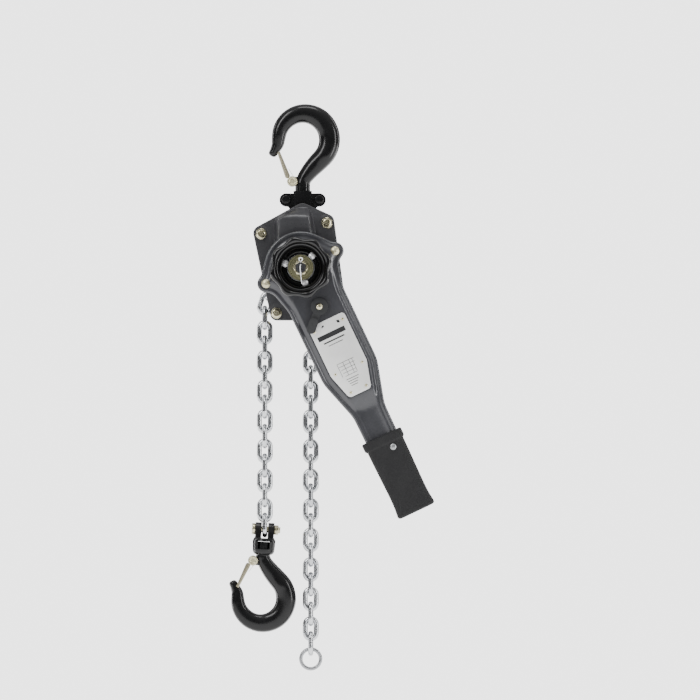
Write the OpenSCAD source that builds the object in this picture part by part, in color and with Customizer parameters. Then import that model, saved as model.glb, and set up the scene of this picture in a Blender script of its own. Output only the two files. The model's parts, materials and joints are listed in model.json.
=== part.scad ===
// Chain lever hoist, hanging from its top hook: +X right, -Y towards the hand wheel, +Z up.
// The origin is the seat of the top hook, where the hook rests on what carries it.

/* [Load chain] */
// Diameter of the chain wire
chain_wire = 7; // [6.8:0.1:7.1]
// Pitch of the chain
chain_pitch = 21; // [20.8:0.1:21.2]
// Free width inside a link
link_gap = 8.6; // [8.5:0.1:9]
// Slack along the chain at each joint between links
link_play = 0.4; // [0.3:0.05:0.5]
// Links between the body's lower corner and the bottom hook
load_links = 15; // [9:2:25]
// Links that hang straight on the slack side
slack_links = 22; // [10:2:30]
// Lean of the loaded run inside the body
load_lean = 18; // [17.75:0.25:18.25]
// Lean of the slack run inside the body
slack_lean = 13.8; // [13.6:0.1:14]

/* [Body] */
// Height of the shaft below the hook's seat
hub_drop = 206.5; // [205:0.5:208]
// Distance of the shaft to the left of the hook's axis
hub_side = 2.5; // [2:0.5:3]
// Half of the gap between the side plates
plate_in = 17; // [16.8:0.1:17.2]
// Thickness of a side plate
plate_t = 4; // [3.5:0.1:4]
// Thickness of the pressed cover sheet
sheet_t = 2.5; // [2:0.25:3]
// Radius of a stay bolt
stay_r = 4; // [3.8:0.1:4.1]

/* [Lever] */
// Angle of the lever to the right of straight down
lever_angle = 25.5; // [20:0.5:30]
// Front face of the lever
lever_front = -74; // [-74.5:0.5:-74]
// Rear face of the lever
lever_rear = -50; // [-50:0.5:-49.5]
// Radius of the lever's head
head_r = 51.5; // [50:0.5:53]
// Distance of the selector's shaft from the wheel shaft
selector_u = 61; // [61:0.5:63]
// Swing of the selector from neutral to either side
selector_swing = 42; // [38:1:43]

/* [Hand wheel] */
// Radius to the middle of the wheel's waves
wheel_r = 42.2; // [41:0.2:44]
// Height of a wave
wave = 2; // [1:0.25:3]
// Number of lobes
lobes = 8; // [6:1:10]

/* [Gears] */
// Gear module
gear_m = 1.5; // [1.5:0.5:1.5]
// Teeth of the drive shaft's pinion
pinion_z = 10; // [10:1:10]
// Teeth of the large gear of a gear pair
large_z = 34; // [34:1:34]
// Teeth of the small gear of a gear pair
small_z = 12; // [12:1:12]
// Teeth of the load gear
load_z = 32; // [32:1:32]
// Direction from the shaft to the upper gear pair
train_angle = 99; // [95:1:105]

/* [Hooks] */
// Size of the bottom hook compared with the top hook
bottom_k = 0.95; // [0.93:0.01:0.97]
// Lean of the bottom hook block
block_lean = 3.5; // [0:0.5:4]

/* [Hidden] */
$fn = 48;

function unit(v) = v / norm(v);
function turn(a) = [cos(a), sin(a)];
function flat(p) = [p[0], p[1]];

// Points of a closed outline whose corners [x, y, radius] are rounded with n steps each
function rounded(v, n = 6) = [for (i = [0 : len(v) - 1])
    let (p = flat(v[i]), r = v[i][2],
        u = unit(flat(v[(i + len(v) - 1) % len(v)]) - p), w = unit(flat(v[(i + 1) % len(v)]) - p),
        half = acos(u * w) / 2, c = p + unit(u + w) * r / sin(half),
        s = p + u * r / tan(half) - c, e = p + w * r / tan(half) - c,
        start = atan2(s[1], s[0]), raw = atan2(e[1], e[0]) - start,
        sweep = raw > 180 ? raw - 360 : raw < -180 ? raw + 360 : raw)
    for (k = [0 : n]) c + r * turn(start + sweep * k / n)];

// The same corners mirrored about the first axis, so half an outline makes a whole one
function both_sides(v) = concat(v, [for (i = [len(v) - 1 : -1 : 0]) [v[i][0], -v[i][1], v[i][2]]]);

// A slab between y0 and y1 with an outline in the XZ plane
module slab(points, y0, y1) {
    translate([0, y1, 0]) rotate([90, 0, 0]) linear_extrude(y1 - y0) polygon(points);
}
// A round bar between y0 and y1 at a place in the XZ plane
module rod(p, r, y0, y1) {
    translate([p[0], y1, p[1]]) rotate([90, 0, 0]) cylinder(r = r, h = y1 - y0);
}
module ring(p, r_in, r_out, y0, y1) {
    difference() {
        rod(p, r_out, y0, y1);
        rod(p, r_in, y0 - 1, y1 + 1);
    }
}
module hex_nut(p, across, y0, y1, hole) {
    difference() {
        translate([p[0], y1, p[1]]) rotate([90, 0, 0]) cylinder(r = across / sqrt(3), h = y1 - y0, $fn = 6);
        rod(p, hole, y0 - 1, y1 + 1);
    }
}

// ---- places --------------------------------------------------------------------------------
hub = [-hub_side, -hub_drop];
origin = [0, 0];
top_pin_at = [0, -129];
top_pin_r = 7;
run_fit = 0.05;
plate_out = plate_in + plate_t;
flange_out = plate_out + sheet_t;
// Corners of the body's outline, measured from the shaft
body_corners = [[-68.9, 54.8, 11], [-41.7, -74.7, 9.5], [22, -74.7, 15], [64.5, -57, 11],
    [46.5, 72.9, 10], [2, 93.4, 14]];
stays = [[-56.3, 48.2], [36.9, 63.8], [-34.6, -64.2], [55.5, -48.3]];
stay_waist = [7, 7, 3.5, 7];
guide_bar = [39.5, -60.5];
stripper_pin = [-13, -58];
module at_hub() translate([hub[0], 0, hub[1]]) children();

// ---- chain ---------------------------------------------------------------------------------
link_r = (link_gap + chain_wire) / 2;
link_straight = chain_pitch + link_play - link_gap;
// Radius of the wire centres where the links meet on the five-pocket wheel, ten links to a turn.
// A link that lies flat in a pocket sits nearer to the shaft than one that stands in the groove.
wheel_joint_r = norm([chain_pitch / sin(18), chain_wire / cos(18)]) / 2;
flat_seat_r = sqrt(pow(wheel_joint_r, 2) - pow((chain_pitch + chain_wire) / 2, 2));
standing_seat_r = sqrt(pow(wheel_joint_r, 2) - pow((chain_pitch - chain_wire) / 2, 2));
first_seat = 180 - load_lean;
last_seat = first_seat - 144;
down = [0, -1];
load_dir = [-sin(load_lean), -cos(load_lean)];
slack_dir = [-sin(slack_lean), -cos(slack_lean)];
// Where each run starts and bends: a bend turns about the wire of the flat link at that joint
load_from = hub + flat_seat_r * turn(first_seat) + chain_pitch / 2 * load_dir;
slack_from = hub + flat_seat_r * turn(last_seat) + (chain_pitch + chain_wire) / 2 * turn(last_seat - 90)
    - chain_wire / 2 * slack_dir;
load_bend = load_from + 3 * chain_pitch * load_dir + chain_wire / 2 * (down - load_dir);
slack_bend = slack_from + 4 * chain_pitch * slack_dir + chain_wire / 2 * (slack_dir - down);
// Lowest point inside the last link of each run
load_end = load_bend + load_links * chain_pitch * down;
slack_end = slack_bend + slack_links * chain_pitch * down;

// One link along Z in the XZ plane
module link() {
    for (side = [-1, 1])
        translate([side * link_r, 0, -link_straight / 2]) cylinder(d = chain_wire, h = link_straight);
    for (end = [0, 180]) rotate([0, end, 0]) translate([0, 0, link_straight / 2])
        rotate([90, 0, 0]) rotate_extrude(angle = 180) translate([link_r, 0]) circle(d = chain_wire);
}
// A link centred at p, along direction dir; every other one is turned edge on
module link_at(p, dir, edge_on) {
    translate([p[0], 0, p[1]]) rotate([0, atan2(dir[0], dir[1]), 0]) rotate([0, 0, edge_on ? 90 : 0]) link();
}
module run(from, dir, first, last) {
    for (k = [first : last])
        link_at(from + (k - first + 0.5) * chain_pitch * dir, dir, k % 2 == 0);
}
module chain_on_sheave() {
    color("silver") for (k = [0 : 4]) let (at = first_seat - 36 * k)
        link_at(hub + (k % 2 == 0 ? flat_seat_r : standing_seat_r) * turn(at), turn(at + 90), k % 2 == 0);
}
module load_chain() {
    color("silver") {
        run(load_from, load_dir, 1, 3);
        run(load_bend, down, 4, 3 + load_links);
    }
}
module slack_chain() {
    color("silver") {
        run(slack_from, slack_dir, 1, 4);
        run(slack_bend, down, 5, 4 + slack_links);
    }
}
// Stop ring closed through the last slack link, so the chain can't run out of the body
end_ring_r = 14;
end_ring_wire = 5;
end_ring_play = 0.3;
module chain_end_ring() {
    drop = link_play / 2 + end_ring_r - end_ring_wire / 2 - end_ring_play;
    color("dimgray") translate([slack_end[0], 0, slack_end[1] - drop])
        rotate([90, 0, 0]) rotate_extrude() translate([end_ring_r, 0]) circle(d = end_ring_wire);
}

// ---- hooks ---------------------------------------------------------------------------------
// Measured from the seat, with the bowl's centre 24 mm below it and the shank straight down
bowl = [0, -24];
shank_r = 10;
neck_r = 6.75;
neck_len = 8.2;
head_len = 13;
top_shank_end = -97;
bottom_shank_end = -89.4;
hook_sides = 14;
arc_mid = [[-40, 38.2], [0, 38.1], [45, 37.8], [90, 36.8], [135, 35], [180, 33.9]];
arc_half = [[-40, 13.8], [0, 14.5], [45, 14.3], [90, 12.8], [135, 11.3], [180, 9]];
// Stations along the hook: x, z, half width in the hook's plane, half thickness
hook_line = concat(
    [[0, -88.5, 10, 9.9], [0, -86, 10, 9.9], [1.3, -82.3, 10, 9.9], [4.2, -76.8, 10.6, 10.3],
        [11.4, -67.5, 12, 10.8], [20.2, -58, 13.2, 11.3]],
    [for (a = [-38 : 15 : 180]) let (p = bowl + lookup(a, arc_mid) * turn(a))
        [p[0], p[1], lookup(a, arc_half), 12 - a / 45]],
    [[-35.3, -30.5, 8.2, 7.2], [-38, -36.5, 6.9, 6.6], [-40.4, -40.9, 5.9, 6.1], [-42.3, -44.2, 5.6, 5.7],
        [-43.6, -46.6, 4.4, 4.6], [-44.4, -48.2, 2, 2.2]]);
function signed_power(v, e) = sign(v) * pow(abs(v), e);
function hook_section(i) = let (n = len(hook_line), s = hook_line[i],
        d = unit(flat(hook_line[min(i + 1, n - 1)]) - flat(hook_line[max(i - 1, 0)])))
    [for (j = [0 : hook_sides - 1]) let (a = 360 * j / hook_sides,
        in_plane = s[2] * signed_power(cos(a), 0.85), across = s[3] * signed_power(sin(a), 0.85))
        [s[0] - d[1] * in_plane, across, s[1] + d[0] * in_plane]];
module hook_sweep() {
    n = len(hook_line);
    polyhedron(points = [for (i = [0 : n - 1]) each hook_section(i)],
        faces = concat(
            [[for (j = [hook_sides - 1 : -1 : 0]) j]],
            [for (i = [0 : n - 2]) for (j = [0 : hook_sides - 1])
                let (a = i * hook_sides + j, b = i * hook_sides + (j + 1) % hook_sides)
                each [[a, b, b + hook_sides], [a, b + hook_sides, a + hook_sides]]],
            [[for (j = [0 : hook_sides - 1]) (n - 1) * hook_sides + j]]));
}
latch_x = -14.8;
lug_half = 6.5;
latch_pin_r = 3;
latch_tip = [-34.2, -41.8];
// Height where the round shank runs into the forged shape
shank_top = -84;
module hook(shank_end, pivot_z, neck) {
    difference() {
        union() {
            hook_sweep();
            translate([0, 0, shank_end]) cylinder(r = shank_r, h = shank_top - shank_end);
            slab(rounded([[-21.3, pivot_z - 6.5, 6.2], [-2, pivot_z - 6.5, 2], [-2, pivot_z + 6.5, 2],
                [-21.3, pivot_z + 6.5, 6.2]]), -lug_half, lug_half);
            translate([0, 0, shank_end - neck]) cylinder(r = neck_r, h = neck + 1);
        }
        rod([latch_x, pivot_z], latch_pin_r + run_fit, -lug_half - 1, lug_half + 1);
    }
}
latch_half = 8.5;
latch_t = 1.2;
latch_eye = 7.4;
latch_head = 1.2;
// The latch's arm: distance along it from the pivot, then to its outer side, and the corner's radius
latch_arm = [[8.4, -0.6, 1.5], [46, -2, 1], [46, 2.2, 1], [4.5, 7.2, 3]];
latch_web = [[12, 4], [12, 5.6], [39.5, 2.2], [39.5, 0.6]];
// Sheet latch: two cheeks beside the hook's lug and nose, joined by a web that closes the mouth
module latch(pivot_z) {
    pivot = [latch_x, pivot_z];
    way = unit(latch_tip - pivot);
    side = [-way[1], way[0]];
    arm = rounded([for (c = latch_arm) let (p = pivot + c[0] * way + c[1] * side) [p[0], p[1], c[2]]]);
    difference() {
        for (y = [-latch_half, latch_half - latch_t]) {
            slab(arm, y, y + latch_t);
            rod(pivot, latch_eye, y, y + latch_t);
        }
        rod(pivot, latch_pin_r, -latch_half - 1, latch_half + 1);
    }
    slab([for (c = latch_web) pivot + c[0] * way + c[1] * side], -latch_half + 0.1, latch_half - 0.1);
}
module latch_rivet(pivot_z) {
    rod([latch_x, pivot_z], latch_pin_r, -latch_half, latch_half);
    for (y = [-latch_half - latch_head, latch_half]) rod([latch_x, pivot_z], latch_eye - 0.3, y, y + latch_head);
}
top_pivot_z = -83.6;
bottom_pivot_z = -80;
module top_hook() {
    color("#151515") {
        hook(top_shank_end, top_pivot_z, neck_len + 1);
        translate([0, 0, top_shank_end - neck_len - head_len]) cylinder(r = 10, h = head_len);
    }
}
module top_hook_latch() color("#a39a78") latch(top_pivot_z);
module top_latch_rivet() color("#b0a98e") latch_rivet(top_pivot_z);

// ---- top yoke ------------------------------------------------------------------------------
yoke_top = top_shank_end - 0.2;
yoke_half = 15.5;
ear_at = [23.6, -109.5];
ear_half = 9;
yoke_rivet_r = 4;
yoke_outline = rounded([[-17, yoke_top - 3.5, 5], [-32.8, -100.3, 9.1], [-32.8, -118.7, 9.1],
    [-19.5, -119.7, 4], [-14, -143, 13], [14, -143, 13], [19.5, -119.7, 4], [32.8, -118.7, 9.1],
    [32.8, -100.3, 9.1], [17, yoke_top - 3.5, 5]]);
// Half of the collar under the hook's shank, seen from above: x and distance from the parting face
collar_floor = -120;
collar_half = [[-13, 0], [-13, 12.9], [-10.4, yoke_half], [10.4, yoke_half], [13, 12.9], [13, 0]];
module yoke_half_body(side) {
    difference() {
        union() {
            slab(yoke_outline, side > 0 ? 0 : -ear_half, side > 0 ? ear_half : 0);
            translate([0, 0, collar_floor]) linear_extrude(yoke_top - collar_floor)
                polygon([for (c = collar_half) [c[0], side * c[1]]]);
            slab(rounded([[-13, -143, 12.5], [13, -143, 12.5], [13, -117, 3], [-13, -117, 3]]),
                side > 0 ? 0 : -yoke_half, side > 0 ? yoke_half : 0);
        }
        translate([0, 0, top_shank_end - neck_len - 1]) cylinder(r = neck_r + run_fit, h = 20);
        translate([0, 0, top_shank_end - neck_len - head_len - 0.4])
            cylinder(r = 10.4, h = head_len + 0.6);
        rod(top_pin_at, top_pin_r + run_fit, -20, 20);
        for (x = [-1, 1]) rod([x * ear_at[0], ear_at[1]], yoke_rivet_r, -20, 20);
    }
}
module top_yoke_front() color("#171717") yoke_half_body(-1);
module top_yoke_rear() color("#171717") yoke_half_body(1);
module top_yoke_rivets() {
    color("#1c1c1c") for (x = [-1, 1]) {
        rod([x * ear_at[0], ear_at[1]], yoke_rivet_r, -ear_half, ear_half);
        for (y = [-ear_half - 3, ear_half])
            rod([x * ear_at[0], ear_at[1]], 6.4, y, y + 3);
    }
}
module top_pin() color("gray") rod(top_pin_at, top_pin_r, -plate_out, plate_out);

// ---- frame ---------------------------------------------------------------------------------
bearing_r = 19;
journal_r = 15;
idler_r = gear_m * (pinion_z + large_z) / 2;
idler_at = [for (turn_by = [0, 180]) idler_r * turn(train_angle + turn_by)];
idler_axle_r = 5;
pawl_pivots = [[-27.5, 43], [-2, 57]];
pawl_nose_angle = [107, 77];
pawl_pin_r = 3.5;
pin_from_hub = top_pin_at - hub;
module plate_blank(y0, y1) {
    difference() {
        slab(rounded(body_corners), y0, y1);
        for (p = stays) rod(p, stay_r, y0 - 1, y1 + 1);
    }
}
module side_plate_front() {
    color("#3c3d40") at_hub() difference() {
        plate_blank(-plate_out, -plate_in);
        rod(origin, bearing_r, -plate_out - 1, 0);
        rod(pin_from_hub, top_pin_r, -plate_out - 1, 0);
        for (p = pawl_pivots) rod(p, pawl_pin_r, -plate_out - 1, 0);
        rod(guide_bar, 4, -plate_out - 1, 0);
        rod(stripper_pin, 4, -plate_out - 1, 0);
    }
}
module side_plate_rear() {
    color("#3c3d40") at_hub() difference() {
        plate_blank(plate_in, plate_out);
        rod(origin, bearing_r, 0, plate_out + 1);
        rod(pin_from_hub, top_pin_r, 0, plate_out + 1);
        for (p = idler_at) rod(p, idler_axle_r + run_fit, 0, plate_out + 1);
        rod(guide_bar, 4, 0, plate_out + 1);
        rod(stripper_pin, 4, 0, plate_out + 1);
    }
}
module wheel_bearings() color("darkgoldenrod") at_hub() {
    for (y = [-plate_out, plate_in]) ring(origin, journal_r + run_fit, bearing_r, y, y + plate_t);
}
nut_high = 6.9;
nut_collar = 2.4;
module stay_bolts() {
    color("#b9b59a") at_hub() for (i = [0 : 3]) {
        rod(stays[i], stay_r, -flange_out - nut_high - 1, flange_out + nut_high + 1);
        rod(stays[i], stay_waist[i], -plate_in, plate_in);
    }
}
module stay_nuts() {
    color("#c3bb97") at_hub() for (p = stays) for (side = [-1, 1]) {
        y0 = side < 0 ? -flange_out - nut_high : flange_out;
        y1 = y0 + nut_high;
        hex_nut(p, 13, side < 0 ? y0 + nut_collar : y0, side < 0 ? y1 : y1 - nut_collar, stay_r);
        ring(p, stay_r, 6, side < 0 ? y0 : y1 - nut_collar, side < 0 ? y0 + nut_collar : y1);
    }
}
// Bar that turns the slack run down past the lower edge of the plates
module chain_guide() {
    color("#3a3a3a") at_hub() {
        rod(guide_bar, 4, -plate_out, plate_out);
        rod(guide_bar, 6, -plate_in, plate_in);
    }
}
// Finger in the wheel's groove that lifts the chain off
module chain_stripper() {
    color("#55524c") at_hub() {
        slab(rounded([[-13.5, -17.5, 2], [-20.5, -62, 4], [-5, -62, 4], [-4.5, -23, 2]]), -3, 3);
        rod(stripper_pin, 4, -plate_out, plate_out);
    }
}
// ---- brake cover and gear case -------------------------------------------------------------
cover_r = 46;
cover_front = -48;
cover_mouth_r = 30;
neck_front = -41;
neck_corners = [[-37, 0, 3], [-38.5, 70, 15], [16.5, 79, 11], [21.5, 0, 3]];
neck_inside = [[-34.5, 0, 2], [-36, 67.5, 12.5], [14, 76, 8.5], [19, 0, 2]];
pin_boss_front = -32;
module brake_cover() {
    color("#45474b") at_hub() difference() {
        union() {
            plate_blank(-flange_out, -plate_out);
            rod(origin, cover_r, cover_front, -plate_out);
            slab(rounded(neck_corners), neck_front, -plate_out);
            rod(pin_from_hub, 13, pin_boss_front, -plate_out);
        }
        rod(origin, cover_r - sheet_t, cover_front + sheet_t, 0);
        rod(origin, cover_mouth_r, cover_front - 1, 0);
        slab(rounded(neck_inside), neck_front + sheet_t, 0);
    }
}
case_rear = 53;
case_inside = rounded([for (a = [45, 135, 225, 315])
    let (p = [a == 45 || a == 315 ? 62 : -62, a < 180 ? 31 : -31],
        q = p[0] * turn(train_angle) + p[1] * turn(train_angle + 90)) [q[0], q[1], 29]]);
case_outside = rounded([for (a = [45, 135, 225, 315])
    let (p = [a == 45 || a == 315 ? 64.5 : -64.5, a < 180 ? 33.5 : -33.5],
        q = p[0] * turn(train_angle) + p[1] * turn(train_angle + 90)) [q[0], q[1], 31.5]]);
bush_r = 8;
module gear_case() {
    color("#3f4145") at_hub() difference() {
        union() {
            plate_blank(plate_out, flange_out);
            slab(case_outside, plate_out, case_rear);
            rod(origin, 14, case_rear - 1, case_rear + 4);
            for (p = idler_at) rod(p, 10, case_rear - 1, case_rear + 2);
        }
        difference() {
            slab(case_inside, 0, case_rear - sheet_t);
            for (p = idler_at) rod(p, 10, case_rear - 4, case_rear);
            rod(origin, 14, case_rear - 4, case_rear);
        }
        rod(origin, bush_r, 0, case_rear + 2);
        for (p = idler_at) rod(p, idler_axle_r + run_fit, 0, case_rear);
    }
}
shaft_tail_r = 5;
module gear_case_bush() color("darkgoldenrod") at_hub()
    ring(origin, shaft_tail_r + run_fit, bush_r, case_rear - 4, case_rear + 2);

// ---- wheel, gears and drive shaft ----------------------------------------------------------
involute_steps = 3;
gear_slack = 0.16;
function inv(a) = tan(a) * 180 / PI - a;
// Outline of a gear with z teeth and one tooth centred on direction at
function gear_outline(z, at) = let (r = gear_m * z / 2, base = r * cos(20), tip = r + 0.85 * gear_m,
        root = r - 1.25 * gear_m, low = max(base + 0.01, root + 0.3),
        half = 90 / z - gear_slack / r * 180 / PI,
        flank = [for (k = [0 : involute_steps]) let (q = low + (tip - low) * k / involute_steps)
            [q, half + inv(20) - inv(acos(base / q))]])
    [for (i = [0 : z - 1]) let (mid = at + 360 * i / z) each concat(
        [root * turn(mid - flank[0][1])],
        [for (f = flank) f[0] * turn(mid - f[1])],
        [for (k = [involute_steps : -1 : 0]) flank[k][0] * turn(mid + flank[k][1])],
        [root * turn(mid + flank[0][1])])];
wheel_half = 15;
flange_r = 37.5;
groove_r = 19.8;
pocket_floor = 26.8;
pocket_half = 19.1;
shaft_r = 7.5;
spline_r = 12;
module load_sheave() {
    color("#777a7d") at_hub() difference() {
        union() {
            rod(origin, flange_r, -wheel_half, wheel_half);
            rod(origin, journal_r, -plate_out - 0.5, plate_out + 0.5);
            rod(origin, spline_r, plate_out, 34.5);
        }
        ring(origin, groove_r, flange_r + 1, -4.1, 4.1);
        for (k = [0 : 4]) rotate([0, -(first_seat + 72 * k), 0])
            translate([pocket_floor, -12, -pocket_half]) cube([20, 24, 2 * pocket_half]);
        rod(origin, shaft_r + run_fit, -30, 40);
        ring(origin, spline_r - 0.8, spline_r + 1, 33.2, 34);
    }
}
module load_gear() {
    color("#6d6f70") at_hub() difference() {
        slab(gear_outline(load_z, train_angle), 23, 33);
        rod(origin, spline_r, 20, 40);
        for (k = [0 : 5]) rod(16.5 * turn(60 * k), 2.2, 20, 40);
    }
}
module load_gear_ring() color("#4a4a4a") at_hub() ring(origin, spline_r - 0.8, spline_r + 2.5, 33.2, 34);
shaft_front = -105.4;
pinion_front = 36;
pinion_rear = 47;
cotter_y = -103.5;
module drive_shaft() {
    color("#8b8d8f") at_hub() difference() {
        union() {
            rod(origin, shaft_r, shaft_front, pinion_front);
            slab(gear_outline(pinion_z, train_angle), pinion_front, pinion_rear);
            rod(origin, shaft_tail_r, pinion_rear, case_rear + 1.5);
        }
        translate([0, cotter_y, -20]) cylinder(r = 1.7, h = 40);
    }
}
module gear_pair(i) {
    facing = train_angle + 180 * (i + 1);
    translate([idler_at[i][0], 0, idler_at[i][1]]) {
        slab(gear_outline(large_z, facing + 180 / large_z), 37.5, 45.5);
        slab(gear_outline(small_z, facing + 180 / small_z), 22.5, 37.5);
        rod(origin, idler_axle_r, plate_in + 0.5, case_rear - 1);
        rod(origin, 7, plate_out + 0.3, 22.5);
        rod(origin, 7, 45.5, case_rear - 4.3);
    }
}
module gear_pair_upper() color("#6f7173") at_hub() gear_pair(0);
module gear_pair_lower() color("#6f7173") at_hub() gear_pair(1);

// ---- brake ---------------------------------------------------------------------------------
sleeve_r = 12;
boss_r = 14;
disc_r = 29;
ratchet_r = 34;
ratchet_teeth = 12;
// Faces between the parts of the brake, from the hub's flange to the pressure ring
stack = [-24, -29, -31.5, -37.5, -40, -43];
module friction_hub() {
    color("#7d7f80") at_hub() difference() {
        union() {
            rod(origin, sleeve_r, -80, -22);
            rod(origin, boss_r, stack[4], stack[0]);
            rod(origin, disc_r + 1, stack[1], stack[0]);
        }
        rod(origin, shaft_r, -90, -10);
    }
}
module friction_disc_inner() color("#6b4f36") at_hub() ring(origin, boss_r, disc_r, stack[2], stack[1]);
module friction_disc_outer() color("#6b4f36") at_hub() ring(origin, boss_r, disc_r, stack[4], stack[3]);
module ratchet_disc() {
    color("#7a7568") at_hub() difference() {
        slab([for (i = [0 : ratchet_teeth - 1], c = [[0, 3.5], [0.04, 0], [0.3, 0], [0.7, 2]])
            (ratchet_r - c[1]) * turn(360 * (i + c[0]) / ratchet_teeth)], stack[3], stack[2]);
        rod(origin, boss_r, -50, 0);
    }
}
module pressure_ring() color("#7d7f80") at_hub()
    ring(origin, sleeve_r + run_fit, disc_r - 1, stack[5], stack[4]);
// Nose of each pawl stops just outside the ratchet's teeth
module pawl(i) {
    pivot = pawl_pivots[i];
    nose = (ratchet_r + 1.6) * turn(pawl_nose_angle[i]);
    difference() {
        hull() {
            rod(pivot, 6, stack[3] + 0.5, stack[2] - 0.5, $fn = 32);
            rod(nose, 1.2, stack[3] + 0.5, stack[2] - 0.5, $fn = 16);
        }
        rod(pivot, pawl_pin_r + run_fit, -50, 0);
    }
}
module brake_pawl_left() color("#8c8876") at_hub() pawl(0);
module brake_pawl_right() color("#8c8876") at_hub() pawl(1);
module pawl_pins() color("#a9a48f") at_hub() {
    for (p = pawl_pivots) rod(p, pawl_pin_r, neck_front + sheet_t + 0.1, -plate_in);
}
module pawl_springs() color("#9b9b9b") at_hub() {
    for (p = pawl_pivots) ring(p, 4, 5.2, stack[2], -27);
}

// ---- change gear and hand wheel ------------------------------------------------------------
collar_r = 28;
tube_r = 18.5;
change_teeth = 16;
change_tip = 27.5;
change_root = 24;
teeth_front = -65.8;
teeth_rear = -57.8;
wheel_rear = -79;
web_front = -83;
wheel_screw_at = [165.5, 46, 286];
wheel_screw_r = 22.6;
wheel_front = -102;
module change_gear() {
    color("#80827f") at_hub() difference() {
        union() {
            rod(origin, collar_r, wheel_rear, teeth_front);
            slab([for (i = [0 : change_teeth - 1],
                c = [[-0.36, change_root], [-0.22, change_tip], [0.22, change_tip], [0.36, change_root]])
                c[1] * turn(360 * (i + c[0]) / change_teeth)], teeth_front, teeth_rear);
            rod(origin, tube_r, teeth_rear, stack[5] - 0.1);
        }
        rod(origin, sleeve_r + run_fit, -90, 0);
    }
}
module hand_wheel() {
    rim = [for (a = [0 : 3 : 357]) (wheel_r + wave * cos(lobes * (a - 15.6))) * turn(a)];
    color("#121212") at_hub() difference() {
        slab(rim, wheel_front, wheel_rear);
        rod(origin, 35, wheel_front - 1, -92);
        rod(origin, 28, -93, web_front);
        rod(origin, 19.6, -90, -70);
        for (a = wheel_screw_at) rod(wheel_screw_r * turn(a), 2.5, -90, -70);
    }
}
module hand_wheel_screws() {
    color("silver") at_hub() for (a = wheel_screw_at) {
        rod(wheel_screw_r * turn(a), 2.5, web_front, wheel_rear);
        rod(wheel_screw_r * turn(a), 5.2, web_front - 3.4, web_front);
    }
}
// Spring that lets the wheel be pulled out against the stop washer
module wheel_spring() color("#8f8f8f") at_hub() ring(origin, 13.8, 17, -94.8, -79.2);
module stop_washer() color("#8f8c5e") at_hub() ring(origin, shaft_r, 18.4, -97, -95);
module castle_nut() {
    color("#9c9868") at_hub() difference() {
        union() {
            hex_nut(origin, 19, -102.5, -97, shaft_r);
            ring(origin, shaft_r, 9.4, -106, -102.5);
        }
        for (a = [0, 60, 120]) rotate([0, a, 0]) translate([-2, -107, -20])
            cube([4, 107 + cotter_y + 1.9, 40]);
    }
}
cotter_r = 1.6;
// One leg of the split pin hangs down, the other is bent up over the end of the shaft
leg_half = 0.9;
leg_front = -107;
module cotter_pin() {
    color("silver") at_hub() {
        translate([0, cotter_y, -10.5]) cylinder(r = cotter_r, h = 20.5);
        translate([-leg_half, cotter_y, 12.4]) rotate([0, 90, 0]) cylinder(r = 2.6, h = 2 * leg_half);
        translate([-leg_half, cotter_y - cotter_r, -22]) cube([2 * leg_half, cotter_r, 12.5]);
        translate([-leg_half, leg_front, -11.6]) cube([2 * leg_half, cotter_y - leg_front, 1.8]);
        translate([-leg_half, leg_front, -11.6]) cube([2 * leg_half, 1.5, 17]);
    }
}

// ---- lever ---------------------------------------------------------------------------------
// Lever shapes are drawn with u down the lever and v to its right, then turned into place
module on_lever() at_hub() rotate([0, 90 - lever_angle, 0]) children();
grip_from = 264;
grip_to = 382;
lever_wall = 3;
lever_split = (lever_front + lever_rear) / 2;
rivet_v = 54;
lobe_r = 12.4;
lobe_u = -0.7;
head_cut = 50;
side_slope = 0.26;
// Half of the lever's outline: round head, one rivet lobe, waist, taper and the tang inside the grip
lobe_in = [lobe_u - lobe_r * tan(30), rivet_v + lobe_r];
lobe_out = [lobe_u + lobe_r * tan(30), rivet_v + lobe_r];
to_head = (lobe_in[1] * sin(head_cut) - lobe_in[0] * cos(head_cut) - head_r) / sin(head_cut - 30);
to_side = (lobe_out[1] - 42.5 - side_slope * (50 - lobe_out[0])) / (cos(30) - side_slope * sin(30));
lever_half = [[-head_r, head_r * tan(head_cut / 2), head_r - 0.1],
    [lobe_in[0] - sin(30) * to_head, lobe_in[1] - cos(30) * to_head, 12],
    [lobe_in[0], lobe_in[1], lobe_r], [lobe_out[0], lobe_out[1], lobe_r],
    [lobe_out[0] + sin(30) * to_side, lobe_out[1] - cos(30) * to_side, 20],
    [50, 42.5, 60], [163, 42.3, 60], [224, 24.5, 60], [372, 22.5, 8]];
room_r = head_r - lever_wall;
room_half = [[-room_r, room_r * tan(head_cut / 2), room_r - 0.1], [-room_r * tan(20), room_r, room_r - 0.1],
    [10, room_r, 12], [50, 39.5, 60], [163, 39.3, 60], [224, 21.5, 60], [369, 19.5, 5]];
module lever_shell(front) {
    y0 = front ? lever_front : lever_split;
    y1 = front ? lever_split : lever_rear;
    difference() {
        slab(rounded(both_sides(lever_half)), y0, y1);
        slab(rounded(both_sides(room_half)), front ? y0 + lever_wall : y0 - 1,
            front ? y1 + 1 : y1 - lever_wall);
        rod(origin, (front ? collar_r : tube_r) + run_fit, y0 - 1, y1 + 1);
        for (v = [-1, 1]) rod([lobe_u, v * rivet_v], 4, y0 - 1, y1 + 1);
        if (front) rod([selector_u, 0], 5 + run_fit, y0 - 1, y1 + 1);
    }
}
module lever_shell_front() color("#4a4c50") on_lever() lever_shell(true);
module lever_shell_rear() color("#4a4c50") on_lever() lever_shell(false);
module lever_rivets() {
    color("#c9c3a0") on_lever() for (v = [-1, 1]) {
        rod([lobe_u, v * rivet_v], 4, lever_front, lever_rear);
        for (y = [lever_front - 2.2, lever_rear]) rod([lobe_u, v * rivet_v], 6.4, y, y + 2.2);
    }
}
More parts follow.
